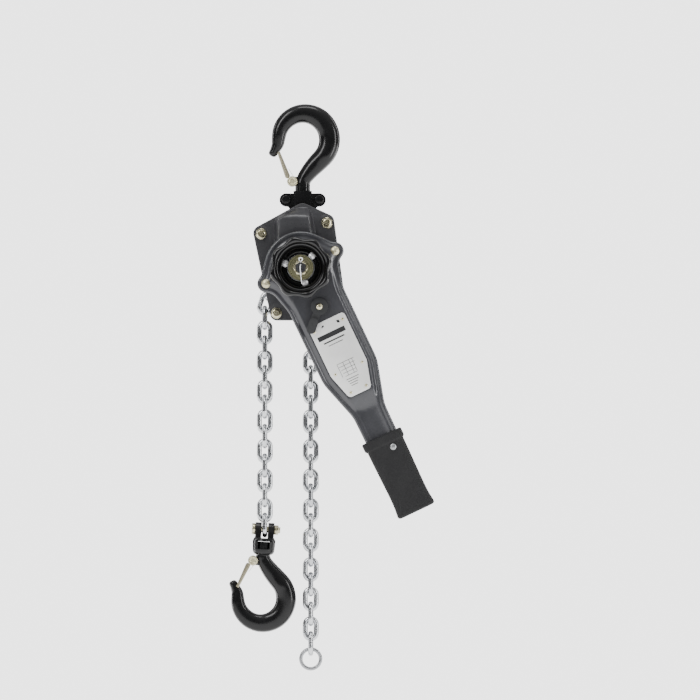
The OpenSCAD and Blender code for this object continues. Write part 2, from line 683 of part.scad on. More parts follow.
// Points drawn down the lever from the selector's shaft, turned by an angle
function from_selector(points, a) = [for (p = points)
    [selector_u + p[0] * cos(a) - p[1] * sin(a), p[0] * sin(a) + p[1] * cos(a)]];
// Where the selector's thumb pad points: 3 degrees more than the swing, which the pawl itself makes
knob_turn = -selector_swing - 3;
module selector_knob() {
    color("#2b2c2e") on_lever() difference() {
        union() {
            rod([selector_u, 0], 12.2, lever_front - 6, lever_front - 0.4);
            slab(from_selector(rounded([[0, 5, 1], [26, 6.2, 2], [26, -6.2, 2], [0, -5, 1]]), knob_turn),
                lever_front - 5, lever_front - 2.6);
            slab(from_selector(rounded([[17.5, 6.4, 6], [40.5, 6.4, 6], [40.5, -6.4, 6], [17.5, -6.4, 6]]),
                knob_turn), lever_front - 10, lever_front - 2.6);
            rod([selector_u, 0], 5, lever_front - 1, teeth_front - 0.2);
        }
        rod([selector_u, 0], 2.5, lever_front - 20, -50);
    }
}
module selector_screw() {
    color("#c8c08c") on_lever() {
        rod([selector_u, 0], 2.5, lever_front - 6, -60);
        rod([selector_u, 0], 4.7, lever_front - 9, lever_front - 6);
    }
}
pawl_reach = selector_u - change_tip - 0.5;
module selector_pawl() {
    color("#8a877c") on_lever() difference() {
        union() {
            rod([selector_u, 0], 9, teeth_front - 0.2, teeth_rear);
            for (side = [-1, 1]) slab(from_selector(rounded([[0, 6, 1], [-pawl_reach + 0.6, 2.4, 1],
                [-pawl_reach + 0.6, -2.4, 1], [0, -6, 1]]), (side - 1) * selector_swing),
                teeth_front - 0.2, teeth_rear);
            slab(from_selector(rounded([[4, 8, 3], [14, 3, 2], [14, -3, 2], [4, -8, 3]]), -selector_swing),
                teeth_front - 0.2, teeth_rear);
        }
        rod([selector_u, 0], 2.5, -70, -50);
    }
}
// Spring plunger that holds the selector at each of its places
module detent_plunger() {
    color("#9a9a96") on_lever() {
        translate([selector_u + 16, lever_split, 0]) rotate([0, 90, 0]) cylinder(r = 3.4, h = 24);
        slab([for (c = [[34, -5], [40, -5], [40, 5], [34, 5]]) [selector_u + c[0], c[1]]],
            lever_front + lever_wall, lever_rear - lever_wall);
    }
}
plate_corners = [[82, 28, 5], [158, 28, 6], [196, 17, 6]];
module name_plate() {
    color("#c9c9c6") on_lever() slab(rounded(both_sides(plate_corners)), lever_front - 0.9, lever_front);
}
plate_screws = [[91, -22], [91, 22], [158, -21], [158, 21], [190, -12], [190, 12]];
module name_plate_screws() {
    color("#a8a690") on_lever() for (p = plate_screws) rod(p, 2.1, lever_front - 2, lever_front - 0.9);
}
module handle_grip() {
    color("#262626") on_lever() difference() {
        slab(rounded(both_sides([[grip_from, 30.5, 3], [grip_from + 12, 30.5, 4],
            [grip_from + 14, 27.8, 2], [368, 26.6, 60], [grip_to, 28.4, 12]])),
            lever_front - 4, lever_rear + 4);
        slab(rounded(both_sides([[100, 24.62, 2], [224, 24.62, 2], [372.2, 22.62, 7.9]])),
            lever_front - 0.1, lever_rear + 0.1);
    }
}
grip_screw_at = [285, 9];
module grip_screw() color("#8d8d8d") on_lever() {
    rod(grip_screw_at, 5, lever_front - 6.4, lever_front - 4);
}

// ---- bottom hook block ---------------------------------------------------------------------
chain_pin_r = 4.3;
pin_at = [load_end[0], load_end[1] - link_play / 2 + chain_pin_r + 0.1];
clevis_end = -36;
collar_gap = 0.2;
hook_seat = clevis_end - collar_gap + bottom_k * bottom_shank_end;
// Length of the bottom hook's neck, up through the clevis and its nut
bottom_neck = 19.4;
// Children are drawn with the chain pin's middle at the origin
module at_block() translate([pin_at[0], 0, pin_at[1]]) rotate([0, block_lean, 0]) children();
module along_x(r, x0, x1) translate([x0, 0, 0]) rotate([0, 90, 0]) cylinder(r = r, h = x1 - x0);
module bottom_clevis() {
    color("#171717") at_block() difference() {
        union() {
            intersection() {
                translate([-13.3, 0, 0]) rotate([90, 0, 90]) linear_extrude(26.6)
                    polygon(rounded([[-9.7, -14, 2], [9.7, -14, 2], [9.7, 9.7, 9.6], [-9.7, 9.7, 9.6]]));
                translate([0, 0, -20]) cylinder(r = 16.3, h = 40);
            }
            translate([0, 0, clevis_end]) rotate_extrude()
                polygon(rounded([[0, 0, 0.01], [15, 0, 6], [16.3, 20, 5], [13, 26, 4], [0, 26, 0.01]]));
        }
        translate([-4.6, -20, -12.7]) cube([9.2, 40, 40]);
        translate([0, 0, -29]) cylinder(r = 11.6, h = 13);
        translate([-8.5, -20, -28]) cube([17, 40, 11]);
        translate([0, 0, clevis_end - 1]) cylinder(r = bottom_k * neck_r + run_fit, h = 12);
        along_x(chain_pin_r, -20, 20);
    }
}
module chain_pin() {
    color("#8e8a62") at_block() {
        along_x(chain_pin_r, -13.3, 22);
        along_x(7.9, -18.3, -13.3);
        translate([13.3, 0, 0]) rotate([0, 90, 0]) cylinder(r = 6.9, h = 6, $fn = 6);
    }
}
module hang_hook() at_block() translate([0, 0, hook_seat]) mirror([0, 0, 1]) children();
module bottom_hook() {
    color("#151515") hang_hook() scale(bottom_k) hook(bottom_shank_end, bottom_pivot_z, bottom_neck);
}
nut_from = -28.6;
nut_to = -17.6;
module bottom_hook_nut() {
    color("#2b2b2b") at_block() difference() {
        translate([0, 0, nut_from]) cylinder(r = 10.6, h = nut_to - nut_from, $fn = 6);
        translate([0, 0, clevis_end]) cylinder(r = bottom_k * neck_r, h = 30);
    }
}
module bottom_hook_latch() {
    color("#a39a78") hang_hook() scale(bottom_k) latch(bottom_pivot_z);
}
module bottom_latch_rivet() color("#b0a98e") hang_hook() scale(bottom_k) latch_rivet(bottom_pivot_z);

top_hook();
top_hook_latch();
top_latch_rivet();
top_yoke_front();
top_yoke_rear();
top_yoke_rivets();
top_pin();
side_plate_front();
side_plate_rear();
stay_bolts();
stay_nuts();
chain_guide();
chain_stripper();
wheel_bearings();
brake_cover();
gear_case();
gear_case_bush();
load_sheave();
load_gear();
load_gear_ring();
chain_on_sheave();
load_chain();
slack_chain();
chain_end_ring();
drive_shaft();
gear_pair_upper();
gear_pair_lower();
friction_hub();
friction_disc_inner();
ratchet_disc();
friction_disc_outer();
pressure_ring();
brake_pawl_left();
brake_pawl_right();
pawl_pins();
pawl_springs();
change_gear();
hand_wheel();
hand_wheel_screws();
wheel_spring();
stop_washer();
castle_nut();
cotter_pin();
lever_shell_front();
lever_shell_rear();
lever_rivets();
selector_knob();
selector_screw();
selector_pawl();
detent_plunger();
name_plate();
name_plate_screws();
handle_grip();
grip_screw();
bottom_clevis();
chain_pin();
bottom_hook();
bottom_hook_nut();
bottom_hook_latch();
bottom_latch_rivet();
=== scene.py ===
"""Looks of a chain lever hoist: pressed and painted shells, forged hooks, plated chain and a rubber grip,
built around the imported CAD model. Lengths in the shape code are millimetres, with +X right and -Y to the front."""
import json
import math

import bmesh
import bpy
import numpy as np
from mathutils import Matrix, Vector, geometry

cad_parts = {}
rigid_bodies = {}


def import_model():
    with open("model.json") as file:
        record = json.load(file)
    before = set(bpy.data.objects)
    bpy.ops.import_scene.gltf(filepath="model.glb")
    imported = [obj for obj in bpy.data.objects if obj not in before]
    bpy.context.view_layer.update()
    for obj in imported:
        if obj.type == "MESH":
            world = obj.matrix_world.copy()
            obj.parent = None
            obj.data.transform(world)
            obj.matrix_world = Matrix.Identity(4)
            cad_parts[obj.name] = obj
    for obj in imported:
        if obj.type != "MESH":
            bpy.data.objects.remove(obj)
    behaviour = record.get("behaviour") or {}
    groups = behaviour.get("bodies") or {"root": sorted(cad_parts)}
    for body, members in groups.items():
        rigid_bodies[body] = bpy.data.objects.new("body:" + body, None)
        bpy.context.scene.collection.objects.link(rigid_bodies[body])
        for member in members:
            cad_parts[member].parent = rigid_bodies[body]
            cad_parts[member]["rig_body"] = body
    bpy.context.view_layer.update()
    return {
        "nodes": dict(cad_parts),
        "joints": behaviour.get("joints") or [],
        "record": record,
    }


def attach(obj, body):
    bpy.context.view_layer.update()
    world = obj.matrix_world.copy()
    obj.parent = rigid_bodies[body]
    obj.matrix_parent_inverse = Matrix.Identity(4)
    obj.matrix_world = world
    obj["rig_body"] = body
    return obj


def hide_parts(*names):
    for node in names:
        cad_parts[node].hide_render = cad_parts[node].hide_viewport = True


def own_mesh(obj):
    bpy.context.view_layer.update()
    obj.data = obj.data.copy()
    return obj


MM = 0.001
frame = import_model()
joints = {j["name"]: j for j in frame["joints"]}


def joint_at(name):
    """A joint's place in millimetres."""
    return Vector(joints[name]["pos_m"]) / MM


HUB = joint_at("lever_turn")
SELECTOR = joint_at("selector_turn")
BLOCK = joint_at("clevis_swing")
LEVER_DOWN = (SELECTOR - HUB).normalized()
LEVER_RIGHT = Vector((-LEVER_DOWN.z, 0, LEVER_DOWN.x))
BLOCK_UP = Vector(joints["bottom_hook_swivel"]["axis"]).normalized()
BLOCK_RIGHT = Vector((BLOCK_UP.z, 0, -BLOCK_UP.x))


# ---- outlines ------------------------------------------------------------------------------
def rounded(corners, steps=8):
    """Points of a closed outline whose corners (x, z, radius) are rounded."""
    points = []
    count = len(corners)
    for i, (x, z, radius) in enumerate(corners):
        corner = Vector((x, z))
        before = (Vector(corners[i - 1][:2]) - corner).normalized()
        after = (Vector(corners[(i + 1) % count][:2]) - corner).normalized()
        half = before.angle(after) / 2
        centre = corner + (before + after).normalized() * radius / math.sin(half)
        start = corner + before * radius / math.tan(half) - centre
        end = corner + after * radius / math.tan(half) - centre
        first = math.atan2(start.y, start.x)
        sweep = (math.atan2(end.y, end.x) - first + math.pi) % math.tau - math.pi
        for k in range(steps + 1):
            angle = first + sweep * k / steps
            points.append((centre.x + radius * math.cos(angle), centre.y + radius * math.sin(angle)))
    return np.array(points)


def both_sides(half):
    """A whole outline from the half on one side of the axis v = 0."""
    return list(half) + [(u, -v, r) for u, v, r in reversed(half)]


def resampled(points, spacing):
    """The same closed outline with points at an even spacing."""
    closed = np.vstack([points, points[:1]])
    run = np.concatenate([[0], np.cumsum(np.linalg.norm(np.diff(closed, axis=0), axis=1))])
    at = np.linspace(0, run[-1], max(8, int(run[-1] / spacing)), endpoint=False)
    return np.stack([np.interp(at, run, closed[:, 0]), np.interp(at, run, closed[:, 1])], axis=1)


def circle(centre, radius, count=96):
    angle = np.linspace(0, math.tau, count, endpoint=False)
    return np.stack([centre[0] + radius * np.cos(angle), centre[1] + radius * np.sin(angle)], axis=1)


def inside_depth(points, outline):
    """Distance of each point to the outline, positive inside it."""
    points = np.asarray(points, float)
    best = np.full(len(points), 1e9)
    crossings = np.zeros(len(points), int)
    for a, b in zip(outline, np.roll(outline, -1, axis=0)):
        edge = b - a
        length = max(float(edge @ edge), 1e-12)
        along = np.clip(((points - a) @ edge) / length, 0, 1)
        best = np.minimum(best, np.linalg.norm(points - a - along[:, None] * edge, axis=1))
        straddles = (a[1] > points[:, 1]) != (b[1] > points[:, 1])
        if abs(edge[1]) > 1e-12:
            cross_x = a[0] + (points[:, 1] - a[1]) / edge[1] * edge[0]
            crossings += straddles & (points[:, 0] < cross_x)
    return np.where(crossings % 2 == 1, best, -best)


def smooth_step(t):
    t = np.clip(t, 0, 1)
    return t * t * (3 - 2 * t)


def round_edge(depth, radius):
    """Height lost near an edge that is rounded off with that radius."""
    t = np.clip(depth / radius, 0, 1)
    return radius * (1 - np.sqrt(np.clip(1 - (1 - t) ** 2, 0, 1)))


# ---- mesh makers ---------------------------------------------------------------------------
# Loose points of a pressed sheet keep this far from its free edges
EDGE_GAP = 0.25
# A point beside a line counts as long as its distance to the line is right within this
OFFSET_ERROR = 0.08


def on_body(a, b, y):
    """A point of the body, from its place beside and above the hub."""
    return (HUB.x + a, y, HUB.z + b)


def on_lever(u, v, y):
    """A point of the lever, u along its arm from the hub and v across it."""
    return (HUB.x + LEVER_DOWN.x * u + LEVER_RIGHT.x * v, y, HUB.z + LEVER_DOWN.z * u + LEVER_RIGHT.z * v)


def both_ways(*distances):
    """Distances to one side of a line, then the same to the other side."""
    return distances + tuple(-d for d in distances)


def new_piece(name, verts, faces, body, slot, material, smooth_angle=40, replaces=()):
    """A mesh object made from millimetre points, riding on a body."""
    mesh = bpy.data.meshes.new(name)
    mesh.from_pydata([tuple(c * MM for c in v) for v in verts], [],
                     [tuple(int(i) for i in f) for f in faces])
    bm = bmesh.new()
    bm.from_mesh(mesh)
    bmesh.ops.remove_doubles(bm, verts=bm.verts, dist=1e-6)
    bmesh.ops.recalc_face_normals(bm, faces=bm.faces)
    bm.to_mesh(mesh)
    bm.free()
    piece = bpy.data.objects.new(name, mesh)
    bpy.context.scene.collection.objects.link(piece)
    return dress(piece, body, material, smooth_angle, replaces)


def dress(piece, body, material, smooth_angle=40, replaces=()):
    """Gives a piece its finish, its body and the CAD nodes it stands in for."""
    piece.data.materials.clear()
    piece.data.materials.append(material)
    piece.data.shade_smooth()
    piece.data.set_sharp_from_angle(angle=math.radians(smooth_angle))
    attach(piece, body)
    if replaces:
        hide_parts(*replaces)
    return piece


def pressed(outline, holes, height, lines, spread, step, back, place):
    """Points and faces of a pressed sheet: height(points) gives y inside the outline, lines are the outlines
    along which it bends, spread the distances to either side of them that get extra points."""
    loops = [outline] + list(holes)
    parts = list(loops)
    for line in lines:
        ahead = np.roll(line, -1, axis=0) - np.roll(line, 1, axis=0)
        normal = np.stack([-ahead[:, 1], ahead[:, 0]], axis=1)
        normal /= np.linalg.norm(normal, axis=1)[:, None]
        for distance in spread:
            shifted = line + normal * distance
            near = np.abs(inside_depth(shifted, line))
            parts.append(shifted[np.abs(near - abs(distance)) < OFFSET_ERROR])
    low, high = outline.min(0), outline.max(0)
    grid = np.stack(np.meshgrid(np.arange(low[0], high[0], step), np.arange(low[1], high[1], step)), -1)
    parts.append(grid.reshape(-1, 2))
    loose = np.vstack(parts[len(loops):])
    keep = inside_depth(loose, outline) > EDGE_GAP
    for hole in holes:
        keep &= inside_depth(loose, hole) < -EDGE_GAP
    points = np.vstack(loops + [loose[keep]])
    edges, start = [], 0
    for loop in loops:
        edges += [(start + i, start + (i + 1) % len(loop)) for i in range(len(loop))]
        start += len(loop)
    found = geometry.delaunay_2d_cdt([Vector(p) for p in points], edges, [], 1, 1e-4)
    flat = np.array([tuple(v) for v in found[0]])
    faces = np.array([f for f in found[2] if len(f) == 3])
    middle = flat[faces].mean(axis=1)
    good = inside_depth(middle, outline) > 0
    for hole in holes:
        good &= inside_depth(middle, hole) < 0
    faces = faces[good]
    verts = [place(p[0], p[1], h) for p, h in zip(flat, height(flat))]
    # A skirt runs from each free edge back to the sheet's rear
    count = {}
    for f in faces:
        for a, b in ((f[0], f[1]), (f[1], f[2]), (f[2], f[0])):
            key = (min(a, b), max(a, b))
            count.setdefault(key, []).append((a, b))
    skirt, lower = [], {}
    for pair in count.values():
        if len(pair) == 1:
            a, b = pair[0]
            for i in (a, b):
                if i not in lower:
                    lower[i] = len(verts)
                    verts.append(place(flat[i][0], flat[i][1], back))
            skirt.append((b, a, lower[a], lower[b]))
    return verts, [tuple(f) for f in faces] + skirt


def ring_faces(rows, count):
    """Faces of a skin over rows of count points each, with a cap at either end."""
    faces = []
    for i in range(rows - 1):
        for k in range(count):
            a, b = i * count + k, i * count + (k + 1) % count
            faces.append((a, b, b + count, a + count))
    faces.append(tuple(range(count)))
    faces.append(tuple((rows - 1) * count + k for k in range(count)))
    return faces


def turned(profile, centre, count=64, wave=None):
    """A lathe shape about the Y direction: profile lists (radius, y); wave changes a radius by angle."""
    verts = []
    for radius, y in profile:
        for k in range(count):
            angle = math.tau * k / count
            r = radius if wave is None else wave(radius, y, angle)
            verts.append((centre[0] + r * math.cos(angle), y, centre[2] + r * math.sin(angle)))
    return verts, ring_faces(len(profile), count)


def tube(path, radius, sides=10):
    """A round wire along a path of points, with closed ends."""
    path = [Vector(p) for p in path]
    verts = []
    up = Vector((0.3, 0.9, 0.2)).normalized()
    for i, p in enumerate(path):
        ahead = (path[min(i + 1, len(path) - 1)] - path[max(i - 1, 0)]).normalized()
        side = ahead.cross(up)
        side = side.normalized() if side.length > 1e-4 else ahead.orthogonal().normalized()
        up = side.cross(ahead).normalized()
        for k in range(sides):
            angle = math.tau * k / sides
            verts.append(tuple(p + radius * (side * math.cos(angle) + up * math.sin(angle))))
    return verts, ring_faces(len(path), sides)


def joined(*shapes):
    """Several shapes as one."""
    verts, faces = [], []
    for shape_verts, shape_faces in shapes:
        offset = len(verts)
        verts += list(shape_verts)
        faces += [tuple(i + offset for i in f) for f in shape_faces]
    return verts, faces


def softened(node, width, material, segments=2, angle=32):
    """A copy of a CAD node with its hard edges rounded, shown in the node's place."""
    source = frame["nodes"][node]
    bm = bmesh.new()
    bm.from_mesh(source.data)
    bmesh.ops.remove_doubles(bm, verts=bm.verts, dist=2e-6)
    bmesh.ops.dissolve_limit(bm, angle_limit=math.radians(0.6), verts=bm.verts, edges=bm.edges)
    hard = [e for e in bm.edges if len(e.link_faces) == 2 and e.calc_face_angle(0) > math.radians(angle)]
    bmesh.ops.bevel(bm, geom=hard, offset=width * MM, segments=segments, profile=0.5, affect="EDGES",
                    clamp_overlap=True)
    bmesh.ops.triangulate(bm, faces=[f for f in bm.faces if len(f.verts) > 4])
    mesh = bpy.data.meshes.new(node + "_soft")
    bm.to_mesh(mesh)
    bm.free()
    piece = bpy.data.objects.new(node + "_finish", mesh)
    bpy.context.scene.collection.objects.link(piece)
    return dress(piece, source["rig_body"], material, 45, (node,))


# ---- materials -----------------------------------------------------------------------------
def make_material(name, base, other, metallic, rough, detail, bump, gloss=0.5, wear=None, spots=0.0):
    """A procedural finish: two tones mixed by cloudy noise, fine grain in roughness and bump, worn edges."""
    material = bpy.data.materials.new(name)
    material.use_nodes = True
    tree = material.node_tree
    nodes, links = tree.nodes, tree.links
    shader = nodes["Principled BSDF"]
    shader.inputs["Metallic"].default_value = metallic
    shader.inputs["Specular IOR Level"].default_value = gloss
    place = nodes.new("ShaderNodeTexCoord")

    def noise(scale, octaves, roughness=0.55):
        n = nodes.new("ShaderNodeTexNoise")
        n.inputs["Scale"].default_value = scale
        n.inputs["Detail"].default_value = octaves
        n.inputs["Roughness"].default_value = roughness
        links.new(place.outputs["Object"], n.inputs["Vector"])
        return n

    def mapped(value, low, high, to_low, to_high):
        m = nodes.new("ShaderNodeMapRange")
        for key, number in (("From Min", low), ("From Max", high), ("To Min", to_low), ("To Max", to_high)):
            m.inputs[key].default_value = number
        links.new(value, m.inputs["Value"])
        return m.outputs["Result"]

    def mixed(factor, a, b):
        m = nodes.new("ShaderNodeMix")
        m.data_type = "RGBA"
        links.new(factor, m.inputs["Factor"])
        for socket, colour in (("A", a), ("B", b)):
            if isinstance(colour, tuple):
                m.inputs[socket].default_value = (*colour, 1)
            else:
                links.new(colour, m.inputs[socket])
        return m.outputs["Result"]

    cloud = noise(34, 4)
    grain = noise(detail, 3, 0.65)
    colour = mixed(mapped(cloud.outputs["Fac"], 0.35, 0.65, 0, 1), base, other)
    if spots:
        speck = noise(700, 2, 0.5)
        colour = mixed(mapped(speck.outputs["Fac"], 0.62, 0.7, 0, spots), colour, tuple(0.45 * c for c in base))
    if wear:
        shape = nodes.new("ShaderNodeNewGeometry")
        edge = mapped(shape.outputs["Pointiness"], 0.53, 0.6, 0, 1)
        patchy = nodes.new("ShaderNodeMath")
        patchy.operation = "MULTIPLY"
        links.new(edge, patchy.inputs[0])
        links.new(mapped(noise(160, 4).outputs["Fac"], 0.45, 0.62, 0, 0.7), patchy.inputs[1])
        colour = mixed(patchy.outputs["Value"], colour, wear)
    links.new(colour, shader.inputs["Base Color"])
    links.new(mapped(grain.outputs["Fac"], 0.3, 0.7, rough * 0.8, rough * 1.25), shader.inputs["Roughness"])
    if bump:
        lift = nodes.new("ShaderNodeBump")
        lift.inputs["Strength"].default_value = bump
        lift.inputs["Distance"].default_value = 0.0002
        links.new(grain.outputs["Fac"], lift.inputs["Height"])
        links.new(lift.outputs["Normal"], shader.inputs["Normal"])
    return material


def grip_material():
    """Matte rubber with a fine diamond hatch."""
    material = make_material("grip_rubber", (0.0045, 0.0045, 0.005), (0.007, 0.007, 0.0075), 0, 0.62, 900, 0.2,
                             gloss=0.25)
    tree = material.node_tree
    nodes, links = tree.nodes, tree.links
    place = nodes.new("ShaderNodeTexCoord")
    total = None
    for turn in (20, -71):
        mapping = nodes.new("ShaderNodeMapping")
        mapping.inputs["Rotation"].default_value = (0, math.radians(turn), 0)
        wave = nodes.new("ShaderNodeTexWave")
        wave.inputs["Scale"].default_value = 190
        links.new(place.outputs["Object"], mapping.inputs["Vector"])
        links.new(mapping.outputs["Vector"], wave.inputs["Vector"])
        if total is None:
            total = wave.outputs["Fac"]
        else:
            both = nodes.new("ShaderNodeMath")
            both.operation = "MULTIPLY"
            links.new(total, both.inputs[0])
            links.new(wave.outputs["Fac"], both.inputs[1])
            total = both.outputs["Value"]
    lift = nodes.new("ShaderNodeBump")
    lift.inputs["Strength"].default_value = 0.35
    lift.inputs["Distance"].default_value = 0.0004
    links.new(total, lift.inputs["Height"])
    links.new(lift.outputs["Normal"], nodes["Principled BSDF"].inputs["Normal"])
    return material


HOOK_BLACK = make_material("hook_black", (0.0022, 0.0022, 0.0025), (0.0045, 0.0045, 0.0048), 0, 0.2, 300, 0.02,
                           gloss=0.26, wear=(0.012, 0.0115, 0.011))
WHEEL_BLACK = make_material("wheel_black", (0.0018, 0.0018, 0.002), (0.003, 0.003, 0.0033), 0, 0.15, 400, 0.02,
                            gloss=0.38)
BODY_PAINT = make_material("body_paint", (0.022, 0.022, 0.024), (0.029, 0.029, 0.032), 0.1, 0.32, 650, 0.015,
                           gloss=0.4, wear=(0.07, 0.07, 0.07))
LEVER_PAINT = make_material("lever_paint", (0.027, 0.0275, 0.031), (0.034, 0.0345, 0.039), 0.15, 0.22, 650, 0.05,
                            gloss=0.55, wear=(0.09, 0.09, 0.09))
CHAIN_ZINC = make_material("chain_zinc", (0.55, 0.56, 0.57), (0.42, 0.43, 0.45), 1, 0.16, 800, 0.12,
                           wear=(0.85, 0.85, 0.85), spots=0.3)
LATCH_ZINC = make_material("latch_zinc", (0.38, 0.35, 0.26), (0.28, 0.255, 0.18), 0.95, 0.34, 700, 0.25, spots=0.4)
ZINC_YELLOW = make_material("zinc_yellow", (0.52, 0.49, 0.36), (0.40, 0.37, 0.24), 1, 0.22, 900, 0.2, spots=0.35)
RIVET_CREAM = make_material("rivet_cream", (0.52, 0.49, 0.34), (0.42, 0.39, 0.26), 0.8, 0.36, 900, 0.2, spots=0.3)
OLIVE_ZINC = make_material("olive_zinc", (0.20, 0.195, 0.12), (0.13, 0.125, 0.07), 0.95, 0.3, 800, 0.2, spots=0.3)
BRIGHT = make_material("bright_steel", (0.80, 0.80, 0.81), (0.70, 0.70, 0.71), 0.55, 0.32, 900, 0.12)
STEEL = make_material("plain_steel", (0.32, 0.33, 0.34), (0.25, 0.25, 0.26), 1, 0.35, 600, 0.3, spots=0.3)
SHAFT_STEEL = make_material("shaft_steel", (0.075, 0.077, 0.08), (0.05, 0.05, 0.053), 0.9, 0.3, 600, 0.25, spots=0.3)
BRONZE = make_material("bronze", (0.55, 0.38, 0.16), (0.45, 0.30, 0.12), 1, 0.35, 600, 0.2)
LINING = make_material("brake_lining", (0.16, 0.10, 0.06), (0.11, 0.07, 0.04), 0, 0.8, 400, 0.5)
SELECTOR_BLACK = make_material("selector_black", (0.011, 0.0115, 0.0125), (0.016, 0.0165, 0.0175), 0, 0.5, 700, 0.2,
                               gloss=0.3)
LABEL = make_material("label_plate", (0.62, 0.62, 0.61), (0.56, 0.56, 0.55), 0.35, 0.36, 500, 0.15)
PRINT = make_material("label_print", (0.008, 0.008, 0.009), (0.012, 0.012, 0.013), 0, 0.5, 800, 0.1, gloss=0.25)
GRIP_RUBBER = grip_material()
SLOT_MATERIALS = {"hook_black": HOOK_BLACK, "latch_zinc": LATCH_ZINC, "body_paint": BODY_PAINT,
                  "lever_paint": LEVER_PAINT, "zinc_yellow": ZINC_YELLOW, "olive_zinc": OLIVE_ZINC,
                  "chain_zinc": CHAIN_ZINC, "wheel_black": WHEEL_BLACK, "bright_steel": BRIGHT,
                  "plain_steel": STEEL, "bronze": BRONZE, "brake_lining": LINING,
                  "selector_black": SELECTOR_BLACK, "label_plate": LABEL, "grip_rubber": GRIP_RUBBER}
slot_of = {s["node"]: s["material_slot"] for s in frame["record"]["subparts"]}
for node, thing in frame["nodes"].items():
    thing.data.materials.clear()
    thing.data.materials.append(SHAFT_STEEL if node == "drive_shaft" else SLOT_MATERIALS[slot_of[node]])
    thing.data.shade_smooth()
    thing.data.set_sharp_from_angle(angle=math.radians(35))


# ---- hooks ---------------------------------------------------------------------------------
BOWL = (0, -24)
ARC_ANGLES = (-40, 0, 45, 90, 135, 180)
ARC_MIDDLE = (38.2, 38.1, 37.8, 36.8, 35, 33.9)
ARC_HALF = (13.8, 14.5, 14.3, 12.8, 11.3, 9)
SHANK = [(0, -88.5, 10, 9.9), (0, -86, 10, 9.9), (1.3, -82.3, 10, 9.9), (4.2, -76.8, 10.6, 10.3),
         (11.4, -67.5, 12, 10.8), (20.2, -58, 13.2, 11.3)]
TIP = [(-35.3, -30.5, 8.2, 7.2), (-38, -36.5, 6.9, 6.6), (-40.4, -40.9, 5.9, 6.1), (-42.3, -44.2, 5.6, 5.7),
       (-43.6, -46.6, 4.4, 4.6), (-44.3, -47.9, 2, 2.2)]


def hook_stations():
    stations = list(SHANK)
    for angle in range(-38, 181, 15):
        middle = np.interp(angle, ARC_ANGLES, ARC_MIDDLE)
        a = math.radians(angle)
        stations.append((BOWL[0] + middle * math.cos(a), BOWL[1] + middle * math.sin(a),
                         np.interp(angle, ARC_ANGLES, ARC_HALF), 12 - angle / 45))
    return stations + TIP


def spline(stations, per_span):
    """Catmull-Rom points through the stations."""
    p = np.array([stations[0]] + list(stations) + [stations[-1]], float)
    out = []
    for i in range(1, len(p) - 2):
        for k in range(per_span):
            t = k / per_span
            out.append(0.5 * (2 * p[i] + (p[i + 1] - p[i - 1]) * t
                              + (2 * p[i - 1] - 5 * p[i] + 4 * p[i + 1] - p[i + 2]) * t * t
                              + (3 * p[i] - p[i - 1] - 3 * p[i + 1] + p[i + 2]) * t ** 3))
    out.append(p[-2])
    return np.array(out)


def hook_shape(shank_end, pivot_z):
    """The forged hook in its own plane: a smooth sweep, its shank and collar, and the lug that carries the latch."""
    line = spline([(0, shank_end, 10, 10)] + hook_stations(), 4)
    sides = 40
    verts = []
    tangent = np.gradient(line[:, :2], axis=0)
    tangent /= np.linalg.norm(tangent, axis=1)[:, None]
    for (x, z, half, thick), (dx, dz) in zip(line, tangent):
        for j in range(sides):
            a = math.tau * j / sides
            # The forging is a rounded rectangle with a faint parting line around its edge
            c, s = math.cos(a), math.sin(a)
            across = math.copysign(abs(c) ** 0.82, c) * (half + 0.5 * math.exp(-(s / 0.07) ** 2))
            out = math.copysign(abs(s) ** 0.82, s) * thick
            verts.append((x - dz * across, out, z + dx * across))
    lug = rounded([(-21.3, pivot_z - 6.5, 6.2), (-2, pivot_z - 6.5, 2), (-2, pivot_z + 6.5, 2),
                   (-21.3, pivot_z + 6.5, 6.2)])
    return joined((verts, ring_faces(len(line), sides)), bevelled_slab(lug, -6.5, 6.5, 0.8))


def bevelled_slab(outline, y0, y1, edge, steps=3):
    """A plate with rounded edges: the outline shrinks towards its middle line near each face."""
    outline = np.asarray(outline)
    ahead = np.roll(outline, -1, axis=0) - np.roll(outline, 1, axis=0)
    length = np.linalg.norm(ahead, axis=1)[:, None]
    inward = np.stack([-ahead[:, 1], ahead[:, 0]], axis=1) / np.where(length == 0, 1, length)
    x, z = outline[:, 0], outline[:, 1]
    if np.sum(x * np.roll(z, -1) - np.roll(x, -1) * z) < 0:
        inward = -inward
    layers = []
    for k in range(steps + 1):
        a = math.pi / 2 * k / steps
        layers.append((edge * (1 - math.sin(a)), y0 + edge * (1 - math.cos(a))))
    layers += [(inset, y1 + y0 - y) for inset, y in reversed(layers)]
    verts = []
    for inset, y in layers:
        verts += [(p[0], y, p[1]) for p in outline + inward * inset]
    return verts, ring_faces(len(layers), len(outline))


def placed(shape, put):
    """A shape with every point moved by put(x, y, z)."""
    verts, faces = shape
    return [put(*v) for v in verts], faces


TOP_SHANK, TOP_PIVOT = -97, -83.6
BOTTOM_SHANK, BOTTOM_PIVOT = -89.4, -80
BOTTOM_SCALE = 0.95
SHANK_BELOW_PIN = 36.2
BLOCK_SEAT = BOTTOM_SCALE * BOTTOM_SHANK - SHANK_BELOW_PIN
STEM_R = 6.75


def at_top(x, y, z):
    """The top hook hangs from the origin, so its points are already in place."""
    return (x, y, z)


def at_bottom(x, y, z):
    """The bottom hook is the same forging, smaller and turned over, below its block."""
    p = BLOCK + BLOCK_RIGHT * (BOTTOM_SCALE * x) + BLOCK_UP * (BLOCK_SEAT - BOTTOM_SCALE * z)
    return (p.x, BOTTOM_SCALE * y, p.z)


